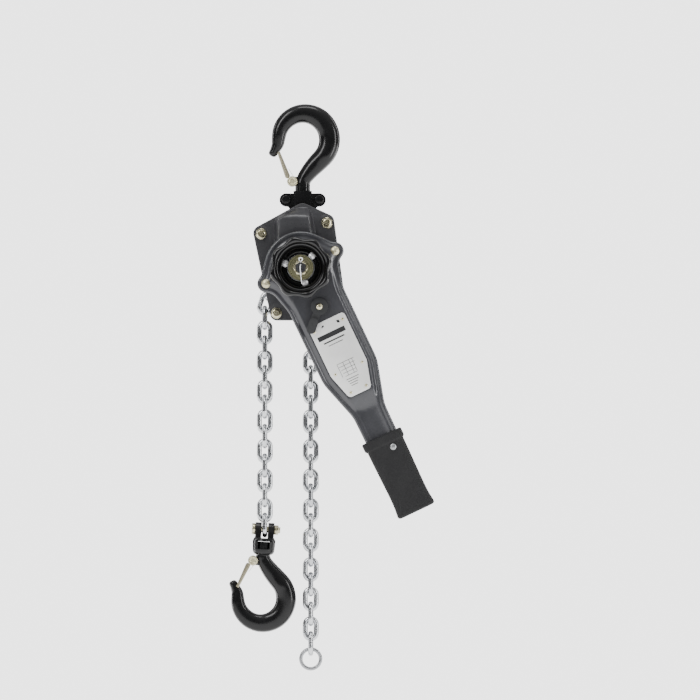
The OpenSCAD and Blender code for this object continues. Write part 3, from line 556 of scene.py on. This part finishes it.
def make_hook(name, put, shank_end, pivot_z, neck_end, head_r, body):
    """A forging with its round stem and the head that the stem turns on."""
    neck, head = neck_end
    rings = [(0.01, shank_end), (STEM_R, shank_end), (STEM_R, neck), (head_r, neck), (head_r, head), (0.01, head)]
    verts, faces = turned(rings, (0, 0, 0), 40)
    stem = ([(v[0], v[2], v[1]) for v in verts], faces)
    new_piece(name, *placed(joined(hook_shape(shank_end, pivot_z), stem), put), body, "hook_black", HOOK_BLACK,
              40, (body,))


make_hook("top_hook_forging", at_top, TOP_SHANK, TOP_PIVOT, (-105.2, -118.2), 10, "top_hook")
make_hook("bottom_hook_forging", at_bottom, BOTTOM_SHANK, BOTTOM_PIVOT, (-107.8, -108.8), STEM_R, "bottom_hook")
LATCH_PIVOT_X = -14.8
LATCH_FOOT_X, LATCH_FOOT_Z = -34.2, -41.8
LATCH_COIL_Y = -6.92


def latch_coil(name, put, pivot_z, body):
    """Flat torsion spring between the lug and one cheek, with one leg lying along the latch."""
    path = []
    for k in range(61):
        a = math.radians(60 + 12 * k)
        r = 3.8 + 1.8 * k / 60
        path.append((LATCH_PIVOT_X + r * math.cos(a), LATCH_COIL_Y, pivot_z + r * math.sin(a)))
    last = Vector(path[-1])
    toward = Vector((LATCH_FOOT_X, last.y, LATCH_FOOT_Z))
    path += [tuple(last.lerp(toward, t)) for t in (0.12, 0.24, 0.36)]
    new_piece(name, *placed(tube(path, 0.3, 8), put), body, "latch_zinc", STEEL, 60)


latch_coil("top_latch_coil", at_top, TOP_PIVOT, "top_latch")
latch_coil("bottom_latch_coil", at_bottom, BOTTOM_PIVOT, "bottom_latch")
for node in ("top_hook_latch", "bottom_hook_latch"):
    softened(node, 0.35, LATCH_ZINC)
EYELET = [(7.1, 8.5), (7.1, 9.1), (6.7, 9.55), (5.8, 9.7), (4.6, 9.6), (3.7, 9.2), (3.1, 8.6), (2.9, 7.4),
          (0.02, 7.4)]


def latch_eyelets(name, put, pivot_z, body, node):
    """Both rolled heads of the tubular rivet that the latch swings on."""
    heads = [turned([(r, side * y) for r, y in EYELET], (LATCH_PIVOT_X, 0, pivot_z), 40) for side in (-1, 1)]
    new_piece(name, *placed(joined(*heads), put), body, "latch_zinc", RIVET_CREAM, 50, (node,))


latch_eyelets("top_latch_eyelets", at_top, TOP_PIVOT, "top_latch", "top_latch_rivet")
latch_eyelets("bottom_latch_eyelets", at_bottom, BOTTOM_PIVOT, "bottom_latch", "bottom_latch_rivet")
for node in ("top_yoke_front", "top_yoke_rear", "bottom_clevis"):
    softened(node, 1.6, HOOK_BLACK, 4)
softened("top_yoke_rivets", 1.9, HOOK_BLACK, 4)

# ---- body shells ---------------------------------------------------------------------------
BODY_CORNERS = [(-68.9, 54.8, 11), (-41.7, -74.7, 9.5), (22, -74.7, 15), (64.5, -57, 11), (46.5, 72.9, 10),
                (2, 93.4, 14)]
BODY_OUTLINE = resampled(rounded(BODY_CORNERS, 14), 1.6)
NECK_OUTLINE = resampled(rounded([(-37, 0, 3), (-38, 86, 12), (13, 92, 8), (20, 55, 14), (23, 0, 3)], 10), 1.6)
DOME_OUTLINE = circle((0, 0), 46, 180)
NECK_CREST = 87
COVER_MOUTH = circle((0, 0), 30, 120)
FLANGE_Y = 23.5
PLATE_FACE_Y = 21
DOME_HEIGHT, NECK_HEIGHT = 24.5, 17.5
STAYS = [(-56.3, 48.2), (36.9, 63.8), (-34.6, -64.2), (55.5, -48.3)]


def cover_height(points):
    """The brake cover: a flange, a round dome over the brake and a neck up to the apex."""
    edge = inside_depth(points, BODY_OUTLINE)
    dome = DOME_HEIGHT * smooth_step((inside_depth(points, DOME_OUTLINE) + 0.2) / 5.5) ** 0.8
    # The neck falls away gently towards the apex, with a small crease where the two slopes meet
    slopes = ((inside_depth(points, NECK_OUTLINE) + 0.2) / 7, (NECK_CREST - points[:, 1]) / 17,
              (edge - 0.8) / 5)
    missing = sum((1 - np.clip(slope, 0, 1)) ** 2 for slope in slopes)
    neck = NECK_HEIGHT * smooth_step(1 - np.sqrt(missing)) ** 0.8
    crease = 1.1 * np.exp(-((points[:, 0] + 7) / 5.5) ** 2
                          - ((points[:, 1] - 78 - 0.35 * points[:, 0]) / 2) ** 2)
    lift = np.maximum(dome, neck + crease)
    # A shallow round seat under each stay nut
    for stay in STAYS:
        near = np.linalg.norm(points - np.array(stay), axis=1)
        lift += np.where(lift < 1, -0.35 * smooth_step((12 - near) / 2.5), 0)
    return -(FLANGE_Y + lift - round_edge(edge, 1.3))


verts, faces = pressed(BODY_OUTLINE, [COVER_MOUTH], cover_height, [DOME_OUTLINE, NECK_OUTLINE, BODY_OUTLINE],
                       (-0.6, 0) + both_ways(0.4, 0.9, 1.5, 2.3, 3.2, 4.2, 5.2, 6.4), 3.2, -PLATE_FACE_Y, on_body)
new_piece("brake_cover_pressing", verts, faces, "frame", "body_paint", BODY_PAINT, 50, ("brake_cover",))


# The line through the gears' centres leans a little from upright
GEAR_COS, GEAR_SIN = math.cos(math.radians(99)), math.sin(math.radians(99))
BOSS_OFFSET = 33


def case_outline(long, wide, radius):
    """The raised part of the gear case: a long box about the gears' line, with rounded corners."""
    corners = []
    for sx, sy in ((1, 1), (-1, 1), (-1, -1), (1, -1)):
        x, y = sx * long, sy * wide
        corners.append((x * GEAR_COS - y * GEAR_SIN, x * GEAR_SIN + y * GEAR_COS, radius))
    return resampled(rounded(corners, 20), 2.0)


CASE_OUTLINE = case_outline(64.5, 33.5, 31.5)
CASE_BOSSES = [((0, 0), 14, 4), ((BOSS_OFFSET * GEAR_COS, BOSS_OFFSET * GEAR_SIN), 10, 2),
               ((-BOSS_OFFSET * GEAR_COS, -BOSS_OFFSET * GEAR_SIN), 10, 2)]


def case_height(points):
    """The gear case: a flange, a raised box and a round boss over each shaft end."""
    edge = inside_depth(points, BODY_OUTLINE)
    lift = 29.5 * smooth_step((inside_depth(points, CASE_OUTLINE) + 0.2) / 7) ** 0.8
    for centre, radius, rise in CASE_BOSSES:
        depth = radius - np.linalg.norm(points - np.array(centre), axis=1)
        lift = lift + rise * smooth_step(depth / 2.5)
    return FLANGE_Y + lift - round_edge(edge, 1.3)


verts, faces = pressed(BODY_OUTLINE, [], case_height,
                       [CASE_OUTLINE, BODY_OUTLINE] + [circle(c, r, 60) for c, r, _ in CASE_BOSSES],
                       (-0.5, 0) + both_ways(0.5, 1.1, 1.9, 2.9, 4, 5.2, 6.6), 3.6, PLATE_FACE_Y, on_body)
new_piece("gear_case_pressing", verts, faces, "frame", "body_paint", BODY_PAINT, 50, ("gear_case",))

for node in ("side_plate_front", "side_plate_rear"):
    softened(node, 0.5, BODY_PAINT)
NUT_PROFILE = [(7.7, 0), (7.7, 0.9), (7.3, 1.2), (8.1, 1.25), (8.1, 3.4), (7.3, 3.8), (6.9, 4.1), (6.45, 4.5),
               (5.9, 4.6), (5.9, 5.9), (5.5, 6.5), (4.7, 6.9), (4.3, 6.7), (4.05, 6.2), (4, 7.2), (3.4, 7.8),
               (0.02, 7.9)]
NUT_ACROSS = 13
WASHER_TOP = 1.22


def hex_wave(radius, y, angle):
    """Keeps a radius within a hexagon, apart from the round washer face below it."""
    if abs(y) < FLANGE_Y + WASHER_TOP:
        return radius
    return min(radius, NUT_ACROSS / 2 / math.cos((angle + math.pi / 6) % (math.pi / 3) - math.pi / 6))


nuts = [turned([(r, side * (FLANGE_Y + y)) for r, y in NUT_PROFILE], (HUB.x + x, 0, HUB.z + z), 72, hex_wave)
        for x, z in STAYS for side in (-1, 1)]
new_piece("stay_lock_nuts", *joined(*nuts), "frame", "zinc_yellow", ZINC_YELLOW, 28, ("stay_nuts",))
for node in ("castle_nut", "chain_pin"):
    softened(node, 0.55, ZINC_YELLOW)
for node in ("chain_guide", "chain_stripper", "load_sheave", "top_pin", "change_gear", "chain_end_ring"):
    softened(node, 0.4, STEEL)

# ---- lever ---------------------------------------------------------------------------------
LEVER_FRONT, LEVER_SPLIT, LEVER_REAR = -74, -62, -50
HEAD_R, LOBE_R, LOBE_U, RIVET_V = 51.5, 12.4, -0.7, 54
# Half the arm's width where its straight side begins, and how fast the side widens towards the head
ARM_U, ARM_V, ARM_SLOPE = 50, 42.5, 0.26


def lever_half():
    """Half the lever's outline: head, rivet lobe, arm and handle."""
    head_cut = math.radians(50)
    inner = (LOBE_U - LOBE_R * math.tan(math.radians(30)), RIVET_V + LOBE_R)
    outer = (LOBE_U + LOBE_R * math.tan(math.radians(30)), RIVET_V + LOBE_R)
    to_head = (inner[1] * math.sin(head_cut) - inner[0] * math.cos(head_cut) - HEAD_R) / math.sin(math.radians(20))
    to_side = (outer[1] - ARM_V - ARM_SLOPE * (ARM_U - outer[0])) / (math.cos(math.radians(30)) - ARM_SLOPE / 2)
    return [(-HEAD_R, HEAD_R * math.tan(head_cut / 2), HEAD_R - 0.1),
            (inner[0] - 0.5 * to_head, inner[1] - 0.866 * to_head, 12), (*inner, LOBE_R), (*outer, LOBE_R),
            (outer[0] + 0.5 * to_side, outer[1] - 0.866 * to_side, 20),
            (ARM_U, ARM_V, 60), (163, 42.3, 60), (224, 24.5, 60), (372, 22.5, 8)]


LEVER_OUTLINE = resampled(rounded(both_sides(lever_half()), 16), 1.5)
RIM_R, RIM_HEIGHT = 3.0, 9.6


def lever_profile(points):
    """Height of the pressed shell above its split line: rolled rim, groove, then the raised panel."""
    depth = inside_depth(points, LEVER_OUTLINE)
    u = points[:, 0]
    rim = RIM_HEIGHT - round_edge(depth, RIM_R)
    # The groove is shallow around the head and deepens down the arm
    arm = smooth_step((u - 18) / 34)
    groove = 1.5 * np.exp(-((depth - 6.6) / 1.9) ** 2) * (0.35 + 0.65 * arm)
    panel = 2.4 * smooth_step((depth - 8.2) / (6.4 - 2.2 * arm))
    upper = 1 - smooth_step((u - 196) / 26)
    hollow = 1.6 * smooth_step((depth - 3) / 14) * (1 - upper)
    return rim - groove * (0.35 + 0.65 * upper) + panel * upper - hollow


def lever_front_height(points):
    return LEVER_SPLIT - lever_profile(points)


def lever_rear_height(points):
    return LEVER_SPLIT + lever_profile(points)


RIM_SPREAD = both_ways(0.3, 0.7, 1.2, 1.9, 2.7, 3.6, 4.6, 5.6, 6.6, 7.6, 8.6, 9.6, 10.6, 11.6, 12.6)
for node, height, holes in (
        ("lever_shell_front", lever_front_height, [circle((0, 0), 28.05, 110), circle((61, 0), 5.1, 40)]),
        ("lever_shell_rear", lever_rear_height, [circle((0, 0), 18.55, 90)])):
    verts, faces = pressed(LEVER_OUTLINE, holes, height, [LEVER_OUTLINE], RIM_SPREAD, 3.4, LEVER_SPLIT, on_lever)
    new_piece(node + "_pressing", verts, faces, "lever", "lever_paint", LEVER_PAINT, 60, (node,))


def dome(centre, radius, base_y, height, out=-1, flat=0.0):
    """A rivet or screw head: low at its rim and rounded to its crown."""
    profile = [(radius, base_y), (radius, base_y + out * 0.25 * height)]
    for k in range(1, 8):
        a = math.pi / 2 * k / 8
        profile.append((max(flat * radius, radius * math.cos(a)),
                        base_y + out * height * (0.25 + 0.75 * math.sin(a))))
    profile.append((max(flat * radius, 0.02), base_y + out * height))
    return turned(profile, centre, 40)


rivets = []
for side in (-1, 1):
    centre = on_lever(LOBE_U, side * RIVET_V, 0)
    rivets.append(dome(centre, 6.4, LEVER_FRONT + 2.6, 4.0, -1, 0.35))
    rivets.append(dome(centre, 6.4, LEVER_REAR - 2.6, 4.0, 1, 0.35))
new_piece("lever_rivet_heads", *joined(*rivets), "lever", "zinc_yellow", RIVET_CREAM, 50, ("lever_rivets",))

# ---- selector, rating plate ----------------------------------------------------------------
softened("selector_knob", 1.1, SELECTOR_BLACK, 3)
new_piece("selector_screw_head", *dome(tuple(SELECTOR), 4.7, LEVER_FRONT - 6, 3.0, -1, 0.2), "selector",
          "zinc_yellow", ZINC_YELLOW, 50, ("selector_screw",))
softened("name_plate", 0.3, LABEL, 2)
PLATE_Y = LEVER_FRONT - 0.9
PRINT_YS = (PLATE_Y + 0.02, PLATE_Y - 0.08)


def printed(points):
    """A printed mark on the rating plate, a hair above its face."""
    count = len(points)
    verts = [on_lever(u, v, y) for y in PRINT_YS for u, v in points]
    faces = [tuple(range(count)), tuple(range(count, 2 * count))]
    faces += [(k, (k + 1) % count, count + (k + 1) % count, count + k) for k in range(count)]
    return verts, faces


def lever_bar(u0, u1, v0, v1):
    return printed([(u0, v0), (u1, v0), (u1, v1), (u0, v1)])


def arrow(u, v, turn, size):
    """A small arrow."""
    a = math.radians(turn)
    shape = [(0, -0.9), (2.4, -0.9), (2.4, -2.2), (5, 0), (2.4, 2.2), (2.4, 0.9), (0, 0.9)]
    return printed([(u + size * (p * math.cos(a) - q * math.sin(a)), v + size * (p * math.sin(a) + q * math.cos(a)))
                    for p, q in shape])


marks = [lever_bar(100, 107, -22, 20), lever_bar(111, 113, -17, 15), lever_bar(117, 118, -12, 10)]
for k in range(5):
    marks.append(lever_bar(146 + 5 * k, 146.6 + 5 * k, -13 + k, 13 - k))
for v in (-13, -4, 5, 9.7):
    marks.append(lever_bar(146, 166, v - 0.3, v + 0.3))
for k in range(4):
    marks.append(lever_bar(171 + 3.4 * k, 171.9 + 3.4 * k, -10 + k, 9 - 2 * k))
marks += [arrow(89, 13, 60, 0.95), arrow(93, 17, -120, 0.95), arrow(90, -10, 120, 0.95)]
new_piece("rating_plate_marks", *joined(*marks), "lever", "label_plate", PRINT, 30)
screws = []
for u, v in ((91, -22), (91, 22), (158, -21), (158, 21), (190, -12), (190, 12)):
    screws.append(dome(on_lever(u, v, 0), 2.1, PLATE_Y, 1.1, -1, 0.2))
new_piece("rating_plate_rivets", *joined(*screws), "lever", "zinc_yellow", ZINC_YELLOW, 50, ("name_plate_screws",))

# ---- grip ----------------------------------------------------------------------------------
GRIP_STATIONS = [(264, 28.6, 14.6), (264.8, 30, 15.6), (266.5, 30.5, 16), (274.5, 30.5, 16), (276.5, 29.6, 15.6),
                 (278, 28.1, 14.9), (281, 27.8, 14.7), (300, 27.6, 14.5), (330, 27, 14.3), (352, 26.7, 14.2),
                 (366, 27.2, 14.6), (374, 28.1, 15.4), (378.5, 28.3, 15.6), (380.6, 27.4, 14.9), (381.7, 25.4, 13.4),
                 (382, 22, 11)]
GRIP_END = GRIP_STATIONS[-1][0]
GRIP_SCREW_U, GRIP_SCREW_V = 285, 9


def grip_shape():
    """The rubber sleeve: a flat box with rounded sides, swept along the handle."""
    line = spline(GRIP_STATIONS, 3)
    sides = 88
    verts = []
    for u, half, thick in line:
        for j in range(sides):
            a = math.tau * j / sides
            c, s = math.cos(a), math.sin(a)
            v = math.copysign(abs(c) ** 0.36, c) * half
            y = math.copysign(abs(s) ** 0.36, s) * thick
            verts.append(on_lever(min(u, GRIP_END), v, LEVER_SPLIT + y))
    return verts, ring_faces(len(line), sides)


new_piece("grip_sleeve", *grip_shape(), "lever", "grip_rubber", GRIP_RUBBER, 50, ("handle_grip",))
new_piece("grip_screw_head", *dome(on_lever(GRIP_SCREW_U, GRIP_SCREW_V, 0), 4.6, LEVER_SPLIT - 14.4, 2.2, -1, 0.25),
          "lever", "bright_steel", STEEL, 50, ("grip_screw",))

# ---- hand wheel ----------------------------------------------------------------------------
WHEEL_PROFILE = [(19.6, -79), (38, -79), (40.4, -79.6), (42, -81.2), (42.6, -84), (42.6, -97), (42.2, -99.6),
                 (41.2, -101.2), (39.6, -102), (37.4, -102), (36, -101.2), (35.2, -99.6), (34.8, -94.2), (34.2, -93),
                 (33, -92.3), (30.4, -92), (29.4, -92.8), (28.8, -94.4), (28, -94.9), (27.2, -94.4), (26.8, -92.6),
                 (26.4, -87.4), (25.6, -84.4), (24, -83.2), (22, -83), (20.4, -83), (19.6, -82.2), (19.6, -79)]
WHEEL_LOBES, LOBE_PHASE, LOBE_RISE = 8, math.radians(15.6), 2.0
WHEEL_SCREW_R = 22.6


def wheel_wave(radius, y, angle):
    """Finger lobes that grow out of the wheel's rim."""
    lobes = math.cos(WHEEL_LOBES * (angle - LOBE_PHASE))
    return radius + LOBE_RISE * lobes * min(max((radius - 34.5) / 6, 0), 1)


# The profile closes on itself, so the wheel has no end caps
verts, faces = turned(WHEEL_PROFILE, tuple(HUB), 240, wheel_wave)
new_piece("hand_wheel_casting", verts, faces[:-2], "hand_wheel", "wheel_black", WHEEL_BLACK, 50, ("hand_wheel",))
heads = []
for angle in (165.5, 46, 286):
    a = math.radians(angle)
    centre = (HUB.x + WHEEL_SCREW_R * math.cos(a), 0, HUB.z + WHEEL_SCREW_R * math.sin(a))
    heads.append(dome(centre, 5.2, -83, 3.6, -1, 0.25))
new_piece("hand_wheel_screw_heads", *joined(*heads), "hand_wheel", "bright_steel", BRIGHT, 50,
          ("hand_wheel_screws",))
WASHER_PROFILE = [(7.5, -95), (17.8, -95), (18.4, -95.5), (18.4, -96.4), (17.9, -97), (15.6, -97), (15.1, -96.6),
                  (14.2, -96.6), (13.7, -97), (7.5, -97)]
new_piece("stop_washer_turned", *turned(WASHER_PROFILE, tuple(HUB), 96), "drive", "olive_zinc", OLIVE_ZINC, 30,
          ("stop_washer",))
# The cotter pin: its eye, a leg that hangs down and a leg bent over the shaft's end
SHAFT_Y = -103.5
eye = [(HUB.x + 2.4 * math.sin(math.radians(a)), SHAFT_Y - 0.2, HUB.z + 11.6 - 2.4 * math.cos(math.radians(a)))
       for a in range(25, 340, 15)]
legs = [[(HUB.x + s * 0.7, SHAFT_Y, HUB.z + z) for z in (9.6, 4, -4, -9.5)] for s in (-1, 1)]
legs[0] += [(HUB.x + 0.3, SHAFT_Y - 1.2, HUB.z - 12), (HUB.x + 0.8, SHAFT_Y - 1.6, HUB.z - 16),
            (HUB.x + 1.6, SHAFT_Y - 1.2, HUB.z - 22)]
legs[1] += [(HUB.x + x, SHAFT_Y - y, HUB.z + z) for x, y, z in (
    (0.6, 1.0, -10.9), (0.3, 2.2, -10.7), (0, 2.7, -9.2), (-0.5, 2.7, -4), (-0.8, 2.7, 0.5), (-0.3, 2.7, 4.6))]
new_piece("cotter_wire", *joined(tube(eye, 0.9), tube(legs[0], 0.75), tube(legs[1], 0.75)), "drive", "bright_steel",
          BRIGHT, 60, ("cotter_pin",))
COIL_R, COIL_FRONT, COIL_LENGTH = 15.3, -94, 13.6
COIL_TURNS, TURN_STEPS = 5, 24
coil = []
for k in range(COIL_TURNS * TURN_STEPS + 1):
    a = math.tau * k / TURN_STEPS
    coil.append((HUB.x + COIL_R * math.cos(a), COIL_FRONT + COIL_LENGTH * k / (COIL_TURNS * TURN_STEPS),
                 HUB.z + COIL_R * math.sin(a)))
spring = new_piece("wheel_spring_coil", *tube(coil, 0.9, 8), "drive", "plain_steel", STEEL, 60, ("wheel_spring",))
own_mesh(spring)

# ---- floor, light and camera ---------------------------------------------------------------
# The floor reaches far to the front and sides and ends behind the object, below the camera's view
FLOOR_Z, FLOOR_REACH, FLOOR_BACK = -1.3, 9, 7
floor_corners = [(-FLOOR_REACH, -FLOOR_REACH, FLOOR_Z), (FLOOR_REACH, -FLOOR_REACH, FLOOR_Z),
                 (FLOOR_REACH, FLOOR_BACK, FLOOR_Z), (-FLOOR_REACH, FLOOR_BACK, FLOOR_Z)]
stage_mesh = bpy.data.meshes.new("studio_floor")
stage_mesh.from_pydata(floor_corners, [], [(0, 1, 2, 3)])
floor = bpy.data.objects.new("studio_floor", stage_mesh)
bpy.context.scene.collection.objects.link(floor)
floor_material = bpy.data.materials.new("studio_white")
floor_material.use_nodes = True
floor_shader = floor_material.node_tree.nodes["Principled BSDF"]
for socket, value in (("Base Color", (0.35, 0.35, 0.35, 1)), ("Roughness", 0.9), ("Specular IOR Level", 0.05),
                      ("Emission Color", (1, 1, 1, 1)), ("Emission Strength", 2.4)):
    floor_shader.inputs[socket].default_value = value
stage_mesh.materials.append(floor_material)

# The room is bright above and dim below, so plated and glossy parts show contrast
world = bpy.context.scene.world or bpy.data.worlds.new("studio")
bpy.context.scene.world = world
world.use_nodes = True
sky, sky_links = world.node_tree.nodes, world.node_tree.links
sky_place = sky.new("ShaderNodeTexCoord")
sky_split = sky.new("ShaderNodeSeparateXYZ")
sky_range = sky.new("ShaderNodeMapRange")
for key, number in (("From Min", -0.05), ("From Max", 0.9), ("To Min", 0.035), ("To Max", 1.1)):
    sky_range.inputs[key].default_value = number
sky_links.new(sky_place.outputs["Generated"], sky_split.inputs["Vector"])
sky_links.new(sky_split.outputs["Z"], sky_range.inputs["Value"])
# Seen directly, it is an even pale backdrop
BACKDROP = 3.2
sky_path = sky.new("ShaderNodeLightPath")
sky_seen = sky.new("ShaderNodeMix")
sky_seen.inputs["B"].default_value = BACKDROP
sky_links.new(sky_path.outputs["Is Camera Ray"], sky_seen.inputs["Factor"])
sky_links.new(sky_range.outputs["Result"], sky_seen.inputs["A"])
sky_links.new(sky_seen.outputs["Result"], sky["Background"].inputs["Strength"])
sky["Background"].inputs["Color"].default_value = (1, 1, 1, 1)


def area_light(name, place, target, size, power):
    light = bpy.data.lights.new(name, "AREA")
    light.shape = "RECTANGLE"
    light.size, light.size_y = size
    light.energy = power
    lamp = bpy.data.objects.new(name, light)
    lamp.location = place
    lamp.rotation_euler = (Vector(target) - Vector(place)).to_track_quat("-Z", "Y").to_euler()
    bpy.context.scene.collection.objects.link(lamp)


CENTRE = (0.05, 0, -0.35)
area_light("key", (-1.2, -1.7, 0.9), CENTRE, (0.5, 1.5), 34)
area_light("fill", (1.7, -1.3, -0.1), CENTRE, (0.3, 1.7), 26)
area_light("rim_left", (-1.4, 0.5, -0.2), CENTRE, (0.3, 1.8), 14)
area_light("rim_right", (1.4, 0.6, 0.1), CENTRE, (0.3, 1.8), 12)
area_light("top", (0.1, -0.7, 1.7), CENTRE, (1.0, 0.6), 20)

VIEW_WIDTH = 0.994
VIEW_DISTANCE = 20
camera_data = bpy.data.cameras.new("camera")
camera_data.lens = camera_data.sensor_width * VIEW_DISTANCE / VIEW_WIDTH
camera = bpy.data.objects.new("camera", camera_data)
camera.location = (0.0672, -VIEW_DISTANCE, -0.323)
camera.rotation_euler = (math.pi / 2, 0, 0)
bpy.context.scene.collection.objects.link(camera)
bpy.context.scene.camera = camera
